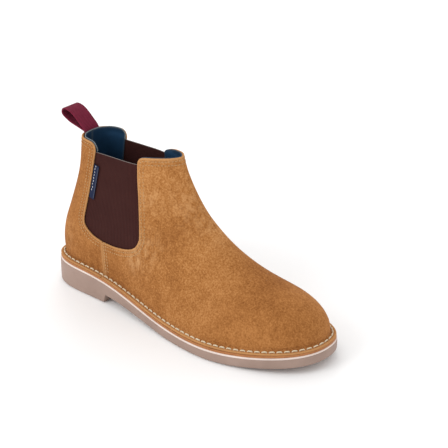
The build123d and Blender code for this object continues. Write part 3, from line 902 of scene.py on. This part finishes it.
def gore(side, node):
    """Ribbed elastic between the quarter and the vamp, tucked under both."""
    rows, cols = 90, 400
    heights = np.linspace(53.5, GORE_TOP_Z - 0.4, rows)
    rear = np.interp(heights, [z for _, z in GORE_BACK[::-1]], [x for x, _ in GORE_BACK[::-1]])
    front = np.interp(heights, [z for _, z in GORE_FRONT], [x for x, _ in GORE_FRONT])
    rear, front = rear - GORE_TUCK, front + GORE_TUCK
    share = np.linspace(0, 1, cols)
    x = rear[:, None] + (front - rear)[:, None] * share[None, :]
    z = np.repeat(heights[:, None], cols, 1)
    flat = on_skin(np.column_stack([x.ravel(), z.ravel()]), side)
    p, n, _, _ = skin_frame(flat[:, 0], flat[:, 1])
    depth = SUEDE + LAYER_GAP
    rib = 0.5 + 0.5 * np.cos(2 * np.pi * GORE_RIBS * share)
    rib = np.tile(rib**0.7, rows)
    fray = 0.06 * np.sin(np.repeat(heights, cols) * 2.1 + 3 * np.sin(np.tile(share, rows) * 40))
    outer = p - n * (depth + 0.30 - 0.26 * rib - 0.3 * fray)[:, None]
    inner = p - n * (depth + STIFFENER + 0.10 + 0.2 * rib - 0.2)[:, None]
    mid = (outer + inner) / 2
    total = rows * cols
    top = slice(total - cols, total)
    cap = mid[top] + np.array([0, 0, 0.45])
    verts = np.vstack([outer, inner, cap])
    faces = []
    order = 1 if side < 0 else -1
    for i in range(rows - 1):
        for j in range(cols - 1):
            quad = [i * cols + j, i * cols + j + 1, (i + 1) * cols + j + 1, (i + 1) * cols + j]
            faces.append(quad[::order])
            faces.append([k + total for k in quad[::-order]])
    for j in range(cols - 1):
        last = total - cols + j
        faces.append([last, last + 1, 2 * total + j + 1, 2 * total + j][::order])
        faces.append([2 * total + j, 2 * total + j + 1, total + last + 1, total + last][::order])
        faces.append([j, total + j, total + j + 1, j + 1][::order])
    for i in range(rows - 1):
        for j, turn in ((0, 1), (cols - 1, -1)):
            a, b = i * cols + j, (i + 1) * cols + j
            faces.append([a, b, b + total, a + total][:: order * turn])
    faces.append([total - cols, 2 * total, 2 * total - cols][::order])
    faces.append([total - 1, 2 * total - 1, 2 * total + cols - 1][::order])
    edge = np.zeros(len(verts))
    edge[2 * total :] = 1.0
    obj = new_object(node + "_elastic", verts, faces, ELASTIC_LOOK, edge=edge)
    set_attribute(obj.data, "rib", np.concatenate([rib, rib, np.zeros(cols)]))
    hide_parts(node)
    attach(obj, "boot")


def lining_outlines():
    """The cloth inside the vamp and inside the heel, from side-view lines a little below the suede."""
    lift = 0.25
    low_v = FILLET_RUN + 3.0
    side_v = {}
    for side in (-1, 1):
        top, quarter_top = ([(x, z + lift) for x, z in points] for points in (TOPLINES[side], QUARTER_TOP))
        lines = dict(foot=foot_front, front=GORE_FRONT, top=top, back=GORE_BACK, foot_back=foot_back,
                     quarter_top=quarter_top)
        side_v[side] = {name: side_run(points, side) for name, points in lines.items()}
        line = seam_run(side)
        side_v[side]["seam"] = line[line[:, 1] > low_v]
    l, m = side_v[-1], side_v[1]
    count = 460
    bottom = np.column_stack([np.linspace(l["seam"][0, 0], m["seam"][0, 0], count),
                              np.full(count, l["seam"][0, 1])])
    vamp = joined(bottom, m["seam"], m["foot"], m["front"], m["top"], l["top"][::-1], l["front"][::-1],
                  l["foot"][::-1], l["seam"][::-1])
    halves = []
    for side in (-1, 1):
        s = side_v[side]
        wall_end = 0.0 if side < 0 else AROUND
        s["quarter_top"][0, 0] = wall_end
        base = s["seam"][0]
        bottom = np.column_stack([np.linspace(wall_end, base[0], 90), np.full(90, base[1])])
        up = np.column_stack([np.full(150, wall_end), np.linspace(base[1], s["quarter_top"][0, 1], 150)])
        if side < 0:
            halves.append(joined(bottom, s["seam"], s["foot_back"][::-1], s["back"][::-1],
                                 s["quarter_top"][::-1], up[::-1]))
        else:
            halves.append(joined(bottom[::-1], up, s["quarter_top"], s["back"], s["foot_back"],
                                 s["seam"][::-1]))
    return vamp, halves


def lining_depth(p):
    """Under the gores and the counter the lining lies deeper. At the topline it meets the suede,
    except at the back, where the sewn end of the pull tab lies between them."""
    rise = smooth_step(p[:, 2], 145.0, 150.0) * smooth_step(p[:, 0], 37.0, 44.0)
    return SUEDE + LAYER_GAP + (LAYER_GAP + STIFFENER) * (1 - rise)


def linings():
    vamp, halves = lining_outlines()
    pieces = [("vamp_lining_cloth", vamp, "vamp_lining"),
              ("quarter_lining_lateral", halves[0], "quarter_lining"),
              ("quarter_lining_medial", halves[1], "quarter_lining")]
    for name, outline, node in pieces:
        obj = panel(name, outline, LINING, lining_depth, LINING_LOOK, coarse=3.0)
        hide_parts(node)
        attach(obj, "boot")


def sewing():
    up, down = [run[1:] for run in vamp_edges(-1)], [run[::-1][1:] for run in vamp_edges(1)[::-1]]
    vamp_path = np.vstack(up + down)[3:-4]
    rows = []

    def add(path, distance, depth=0.22):
        rows.append((smooth_line(resample(moved(path, distance), 0.8), 4), *SEAM_THREAD, depth))

    for distance in SEAM_ROWS:
        add(vamp_path, -distance)
    for side in (-1, 1):
        edges = [side_run(points, side)[::-1][1:] for points in (foot_back, GORE_BACK, QUARTER_TOP)]
        quarter = np.vstack(edges)[2:-3]
        seam = seam_run(side)
        seam = seam[seam[:, 1] > FILLET_RUN + 1.5]
        back = np.column_stack([np.full(150, 0.0 if side < 0 else AROUND), np.linspace(7, 133, 150)])
        for distance in SEAM_ROWS:
            add(quarter, -distance * side)
        for distance in SIDE_SEAM_ROWS:
            add(seam, distance * side)
        add(back, BACK_SEAM_ROW * side)
    obj = thread_rows("upper_stitching", rows, SEAM_LOOK)
    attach(obj, "boot")


def welt_sewing():
    line = shifted(PLAN, -STITCH_INSET, True)
    loop = np.vstack([line, line[:1]])
    run = run_length(loop)
    count = int(round(run[-1] / STITCH_PITCH))
    verts, faces = [], []
    across, around = 9, 8
    s = np.linspace(-1, 1, across)
    size = WELT_THREAD * (1 - 0.2 * s**4)
    for k in range(count):
        x, y = columns((k + 0.5) * run[-1] / count + s * WELT_STITCH_HALF, run, loop).T
        line = np.column_stack([x, y, flange_top(x) + 0.6 - 1.35 * s**6])
        along = unit(np.gradient(line, axis=0))
        side = unit(np.cross(along, [0, 0, 1]))
        verts.append(sweep_rings(line, side, np.cross(side, along), size, around))
        faces += sweep_faces(across, around, k * across * around, flip=True)
    obj = new_object("welt_thread", np.vstack(verts), faces, WELT_LOOK)
    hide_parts("welt_stitching")
    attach(obj, "boot")


# ---------------------------------------------------------------- sole
def under(x):
    """The outsole's underside: flat heel, breast, arched waist, flat forefoot and toe spring."""
    breast_x, breast_z = SOLE_WAIST[0]
    regions = [x < HEEL_BREAST, x < breast_x, x < FOREFOOT_FLAT[0], x < FOREFOOT_FLAT[1]]
    heights = [0 * x, breast_z * (x - HEEL_BREAST) / (breast_x - HEEL_BREAST), sole_waist(x), 0 * x]
    return np.select(regions, heights, sole_spring(x))


def groove_depth(x, edge_gap):
    """How deep the tread is cut at station x, that far inside the sole's edge."""
    nearest = np.abs(x[:, None] - TREAD_STATIONS[None, :]).min(1)
    cut = 1 - smooth_step(nearest, TREAD_GROOVE / 2 - 0.25, TREAD_GROOVE / 2 + 0.05)
    cut = cut * smooth_step(edge_gap, TREAD_BORDER - 0.8, TREAD_BORDER + 0.4)
    zone = ((x > 8) & (x < 64)) | ((x > 170) & (x < 290))
    return TREAD_DEPTH * cut * zone


def above_flange(rise):
    return lambda x: flange_top(x) + rise


def sole_layer(name, low, high, inset, material, node, round_low=0.4, round_high=0.4,
               tread=False, rows=4, bulge=0.0):
    """One layer of the sole. low and high give its heights at stations x."""
    line = shifted(PLAN, -inset, True)
    line = resample(np.vstack([line, line[:1]]), 1.1)[:-1]
    if tread:
        marks = [g + d for g in TREAD_STATIONS for d in (-1.35, -1.2, -0.95, 0, 0.95, 1.2, 1.35)]
        extra = [HEEL_BREAST + d for d in (-1, -0.05, 0.3, 2.4, 3.2)]
        stations = np.array(sorted(set(list(np.arange(2, 304, 4.5)) + marks + extra)))
        stations = stations[np.concatenate([[True], np.diff(stations) > 0.1])]
        y_step = 1.6
    else:
        stations, y_step = np.arange(2, 304, 4.0), 4.0
    grid = np.array([(x, y) for x in stations for y in np.arange(-60, 60, y_step)])

    def sheet_mesh(rim, height, is_low):
        points = grid[inside(grid, rim)]
        points = points[gap_to(points, rim) > y_step * 0.5]
        flat = np.vstack([rim, points])
        z = height(flat[:, 0])
        if is_low and tread:
            z = z + groove_depth(flat[:, 0], gap_to(flat, line))
        return np.column_stack([flat, z]), triangulate(name, flat, len(rim))

    profile = [(round_low * (1 - math.sin(w)), "low", round_low * (1 - math.cos(w)))
               for w in np.linspace(0, math.pi / 2, 5)]
    for k in range(1, rows):
        profile.append((-bulge * math.sin(math.pi * k / rows), "mid", k / rows))
    profile += [(round_high * (1 - math.cos(w)), "high", -round_high * (1 - math.sin(w)))
                for w in np.linspace(0, math.pi / 2, 5)]
    rings = []
    for gap, kind, amount in profile:
        ring = shifted(line, -gap, True) if gap else line
        bottom, top = low(ring[:, 0]), high(ring[:, 0])
        wall_height = top - bottom - round_low - round_high
        z = {"low": bottom + amount, "high": top + amount, "mid": bottom + round_low + wall_height * amount}
        rings.append(np.column_stack([ring, z[kind]]))
    base, base_faces = sheet_mesh(rings[0][:, :2], low, True)
    cover, cover_faces = sheet_mesh(rings[-1][:, :2], high, False)
    count = len(line)
    verts = np.vstack([base, cover] + rings[1:-1])
    faces = [f[::-1] for f in base_faces] + [[i + len(base) for i in f] for f in cover_faces]
    inner = len(base) + len(cover)
    starts = [0] + [inner + k * count for k in range(len(rings) - 2)] + [len(base)]
    faces += rim_faces(count, starts, flip=signed_area(line) < 0)
    obj = new_object(name, verts, faces, material)
    obj.data.set_sharp_from_angle(angle=math.radians(40))
    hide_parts(node)
    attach(obj, "boot")
    return obj


def sole():
    leather_high = above_flange(-SUEDE)
    leather_low = above_flange(-SUEDE - LEATHER_MIDSOLE)
    white_low = above_flange(-SUEDE - LEATHER_MIDSOLE - WHITE_MIDSOLE)
    sole_layer("outsole_unit", under, white_low, 0.0, OUTSOLE_LOOK, "outsole",
               round_low=1.1, round_high=0.5, tread=True, rows=6, bulge=0.15)
    sole_layer("white_line", white_low, leather_low, 0.2, WHITE_LOOK, "white_midsole",
               round_low=0.45, round_high=0.45, bulge=0.1)
    sole_layer("leather_edge", leather_low, leather_high, FLANGE_EDGE, MIDSOLE_LOOK,
               "leather_midsole", round_low=0.3, round_high=0.3)


# ---------------------------------------------------------------- inside, tab and label
def sock():
    """The leather-topped footbed."""
    low = INSOLE_BOARD + LAYER_GAP - SUEDE
    inset = FLANGE + SUEDE + 2 * LAYER_GAP + STIFFENER + LINING + 1.1
    sole_layer("sock_top", above_flange(low + FOOTBED), above_flange(low + FOOTBED + SOCK - 0.2), inset,
               SOCK_LOOK, "sock_lining", round_low=0.3, rows=2)
    sole_layer("footbed_core", above_flange(low), above_flange(low + FOOTBED - 0.05), inset,
               MIDSOLE_LOOK, "footbed_foam", rows=2)


def webbing_path():
    """The tab's centre line in side view, from one sewn end round the loop to the other.

    Both sewn plies lie between the suede and the lining, one behind the other."""
    sewn = [(z, float(back_skin(z)[0])) for z in (141.0, 148.0, 152.6, 153.6)]
    inner = [(x + TAB_INNER_PLY, z) for z, x in sewn]
    outer = [(x + TAB_OUTER_PLY, z) for z, x in sewn][::-1]
    loop = [(34.5, 156.2), (29.7, 161.3), (22.0, 167.9), (14.0, 171.3), (8.6, 170.2), (7.8, 166.8),
            (11.6, 163.1), (19.0, 159.7), (26.4, 157.6), (31.6, 156.0), (34.1, 154.8)]
    return curve_points(inner + loop + outer, 900)


def back_skin(z, away=0.0):
    """The skin's place and outward normal at the back, a round-coordinate away from the middle."""
    v = on_skin([(TAB_PIVOT[0], z)], -1)[0, 1]
    away = np.asarray(away, float)
    p, n, _, _ = skin_frame(away % AROUND, np.full(away.shape, v))
    return np.concatenate([p, n], -1)


def tab_curve(offsets):
    """Shift and normal, in plan, of webbing that follows the back of the shaft, at each offset."""
    away = np.linspace(-TAB_REACH, TAB_REACH, 241)
    skin = back_skin(TAB_SEWN_MIDDLE, away)
    run = run_length(skin[:, :3])
    run -= np.interp(0.0, away, run)
    order = np.sign(skin[-1, 1] - skin[0, 1])
    place = -offsets if order < 0 else offsets
    back = [np.interp(0.0, away, skin[:, c]) for c in (0, 1)]
    values = [np.interp(place, run, skin[:, c]) for c in (0, 1, 3, 4)]
    return values[0] - back[0], values[1] - back[1], values[2], values[3]


def pull_tab():
    line = webbing_path()
    run = run_length(line)
    at = np.arange(0, run[-1], 0.2)
    line = columns(at, run, line)
    ahead = unit(np.gradient(line, axis=0))
    across = np.column_stack([-ahead[:, 1], ahead[:, 0]])
    ends = np.minimum(at, at[-1] - at)
    free = smooth_step(ends, 12.5, 17)
    thick = TAB_SEWN_HALF + (TAB_FREE_HALF - TAB_SEWN_HALF) * free
    rib = 0.5 + 0.5 * np.cos(2 * np.pi * at / TAB_RIB_PITCH)
    half = TAB_WIDTH / 2 - 0.25
    face = np.column_stack([np.linspace(0.93, -0.93, 27), np.ones(27)])
    rim = np.array([(1.0, 0.35), (0.975, 0.8)])
    half_ring = np.vstack([rim, face, (rim * (-1, 1))[::-1]])
    wide, tall = np.vstack([half_ring, -half_ring]).T
    around = len(wide)
    verts, ribs = [], []
    centre = float(middle(34.0))
    shift_x, shift_y, normal_x, normal_y = tab_curve(half * wide)
    for i in range(len(at)):
        bulk = thick[i] + (0.03 + 0.10 * free[i]) * (rib[i] - 0.5) * (np.abs(wide) < 0.93)
        curved = 1 - smooth_step(line[i, 1], 153.5, 161.0)
        lip = 1 + 0.12 * free[i] * np.exp(-(((np.abs(wide) - 0.9) / 0.06) ** 2))
        out = unit(np.column_stack([curved * normal_x - (1 - curved), curved * normal_y]))
        push = -across[i, 0] * tall * bulk * lip
        x = line[i, 0] + curved * shift_x + out[:, 0] * push
        flat_y = half * wide * (1 + 0.012 * free[i] * (rib[i] - 0.5))
        y = centre + flat_y + curved * (shift_y - half * wide) + out[:, 1] * push
        z = line[i, 1] + across[i, 1] * tall * bulk * lip
        verts.append(np.column_stack([x, y, z]))
        ribs.append(np.where(np.abs(wide) > 0.93, 0.65, rib[i]))
    faces = sweep_faces(len(at), around, flip=True)
    obj = new_object("pull_tab_webbing", np.vstack(verts), faces, WEBBING_LOOK)
    set_attribute(obj.data, "rib", np.concatenate(ribs))
    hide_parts("pull_tab_loop", "pull_tab_anchor")
    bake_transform(obj)


def label():
    """A folded woven label whose sewn end lies under the quarter's edge."""
    joint = next(j for j in frame["joints"] if j["name"] == "label_hinge")
    pivot = (np.array(joint["pos_m"]) - SHIFT) * 1000
    along = unit(-np.array(joint["axis"], float))
    co = np.array([v.co for v in frame["nodes"]["flag_label"].data.vertices], float)
    co = (co - SHIFT) * 1000 - pivot
    normal = np.linalg.svd(co - co.mean(0))[2][2]
    normal *= -np.sign(normal[1])
    ahead = np.cross(along, normal)
    ahead *= np.sign(ahead[0])
    size = np.ptp(co @ along)
    reach = (co @ ahead).max()
    half = LABEL_HALF
    fold = np.linspace(-math.pi / 2, math.pi / 2, 9)
    flat = np.concatenate([np.linspace(-2.6, 1.2, 16), np.linspace(1.5, reach - half, 22)])
    outer_line = np.column_stack([flat, np.full(len(flat), half)])
    inner_line = np.column_stack([flat, np.full(len(flat), -half)])
    turn = np.column_stack([reach - half + half * np.cos(fold), half * np.sin(fold)])
    ring = np.vstack([inner_line, turn[1:-1], outer_line[::-1]])
    rows = np.linspace(-size / 2, size / 2, 150)
    verts, marks = [], []
    for r in rows:
        puff = 0.05 * math.sin(r * 1.3)
        w, d = ring[:, 0], ring[:, 1] * (1 + puff)
        plane = pivot + np.outer(w, ahead) + along * r
        flat_place = on_skin(plane[:, [0, 2]], -1)
        skin, out, _, _ = skin_frame(flat_place[:, 0], flat_place[:, 1])
        depth = np.where(d > 0, LABEL_SEWN_OUTER, LABEL_SEWN_INNER)
        settle = smooth_step(w, -0.7, 0.8)[:, None]
        verts.append((skin - out * depth[:, None]) * (1 - settle) + (plane + np.outer(d, normal)) * settle)
        beat = (r / LABEL_DASH_PITCH) % 1.0
        dash = (np.abs(w - 2.2 - 0.4 * math.sin(r * 0.9)) < 0.3) & (beat < 0.5) & (r > -size / 2 + 7)
        stripe = (np.abs(w - (reach - 0.7)) < 0.2) & (np.abs(r) < size / 2 - 1.2)
        marks.append((dash * 0.9 + stripe * 0.12).astype(float))
    faces = sweep_faces(len(rows), len(ring))
    obj = new_object("flag_label_woven", np.vstack(verts), faces, LABEL_LOOK)
    set_attribute(obj.data, "mark", np.concatenate(marks))
    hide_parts("flag_label")
    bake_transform(obj)


def piping():
    """A narrow binding along the heel lining's top edge."""
    for side in (-1, 1):
        path = side_run([(x, z - 0.3) for x, z in QUARTER_TOP], side, spacing=0.7)
        p, n, _, _ = skin_frame(path[:, 0], path[:, 1])
        line = p - n * (lining_depth(p) + LINING * 0.5 + 0.1)[:, None]
        line[:, 2] += 0.75
        obj = tube("lining_piping_" + ("lateral" if side < 0 else "medial"), line, n, 0.5, PIPING_LOOK)
        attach(obj, "boot")


def stiffeners():
    """The toe puff and the heel counter, between the suede and the lining."""
    low_v = FILLET_RUN + 3.0
    toe_half, heel_half = 118.0, 96.0

    def patch(centre, half, high_v):
        turns = np.linspace(0, 2 * np.pi, 260, endpoint=False)
        wide = np.sign(np.cos(turns)) * np.abs(np.cos(turns)) ** 0.6
        tall = np.sign(np.sin(turns)) * np.abs(np.sin(turns)) ** 0.6
        return np.column_stack([centre + half * wide, (low_v + high_v) / 2 + (high_v - low_v) / 2 * tall])

    pieces = [("toe_puff_sheet", patch(AROUND / 2, toe_half, 52.0), "toe_puff"),
              ("heel_counter_sheet", patch(0.0, heel_half, 70.0), "heel_counter")]
    for name, outline, node in pieces:
        obj = panel(name, outline, STIFFENER - 0.1, SUEDE + LAYER_GAP, STIFF_LOOK,
                    fine=2.0, coarse=4.0, near=6.0)
        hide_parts(node)
        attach(obj, "boot")


# ---------------------------------------------------------------- the sheltered CAD pieces
def hidden_pieces():
    """The pieces that lie between the layers keep their CAD shapes."""
    looks = {"steel_shank": STEEL_LOOK, "insole_board": BOARD_LOOK}
    for node, look in looks.items():
        obj = frame["nodes"][node]
        obj.data.materials.clear()
        obj.data.materials.append(look)


# ---------------------------------------------------------------- camera, light and floor
VIEW_AZIMUTH = math.radians(39.06)
VIEW_ELEVATION = math.radians(25.46)
VIEW_DISTANCE = 1319.3
VIEW_TARGET = (191.24, 0.0, 102.88)
VIEW_ROLL = math.radians(-0.31)
LENS = 120.8


def camera():
    data = bpy.data.cameras.new("camera")
    data.lens = LENS
    data.sensor_width = 36.0
    data.clip_end = 50
    obj = bpy.data.objects.new("camera", data)
    bpy.context.scene.collection.objects.link(obj)
    back = Vector((math.sin(VIEW_AZIMUTH) * math.cos(VIEW_ELEVATION),
                   -math.cos(VIEW_AZIMUTH) * math.cos(VIEW_ELEVATION), math.sin(VIEW_ELEVATION)))
    obj.location = row_point(*VIEW_TARGET) + back * (VIEW_DISTANCE / 1000)
    turn = back.to_track_quat("Z", "Y").to_matrix().to_4x4() @ Matrix.Rotation(VIEW_ROLL, 4, "Z")
    obj.matrix_world = Matrix.Translation(obj.location) @ turn
    bpy.context.scene.camera = obj


def lamp(name, place, target, size, power, color=(1, 1, 1)):
    data = bpy.data.lights.new(name, "AREA")
    data.shape = "DISK"
    data.size = size
    data.energy = power
    data.color = color
    obj = bpy.data.objects.new(name, data)
    bpy.context.scene.collection.objects.link(obj)
    obj.location = place
    obj.rotation_euler = (Vector(place) - Vector(target)).to_track_quat("Z", "Y").to_euler()


def studio():
    size = 6.0
    mesh = bpy.data.meshes.new("floor")
    corners = [(-size, -size, 0), (size, -size, 0), (size, size, 0), (-size, size, 0)]
    mesh.from_pydata(corners, [], [[0, 1, 2, 3]])
    look = bpy.data.materials.new("floor")
    look.use_nodes = True
    shader = look.node_tree.nodes["Principled BSDF"]
    shader.inputs["Base Color"].default_value = (0.97, 0.97, 0.97, 1)
    shader.inputs["Roughness"].default_value = 0.9
    shader.inputs["Specular IOR Level"].default_value = 0.1
    mesh.materials.append(look)
    floor = bpy.data.objects.new("floor", mesh)
    bpy.context.scene.collection.objects.link(floor)
    floor.location.z = -0.0005
    world = bpy.data.worlds.new("studio")
    bpy.context.scene.world = world
    world.use_nodes = True
    world.node_tree.nodes["Background"].inputs["Color"].default_value = (1, 1, 1, 1)
    world.node_tree.nodes["Background"].inputs["Strength"].default_value = 1.0
    lamp("key", (-0.5, -1.3, 1.1), (0, 0, 0.05), 0.9, 7)
    lamp("back", (-0.9, 1.1, 1.3), (0, 0, 0.08), 0.8, 4)
    bpy.context.scene.view_settings.view_transform = "Standard"


def main():
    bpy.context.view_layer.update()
    camera()
    studio()
    upper()
    gore(-1, "gore_lateral")
    gore(1, "gore_medial")
    linings()
    piping()
    sewing()
    welt_sewing()
    sole()
    sock()
    pull_tab()
    label()
    stiffeners()
    hidden_pieces()


main()
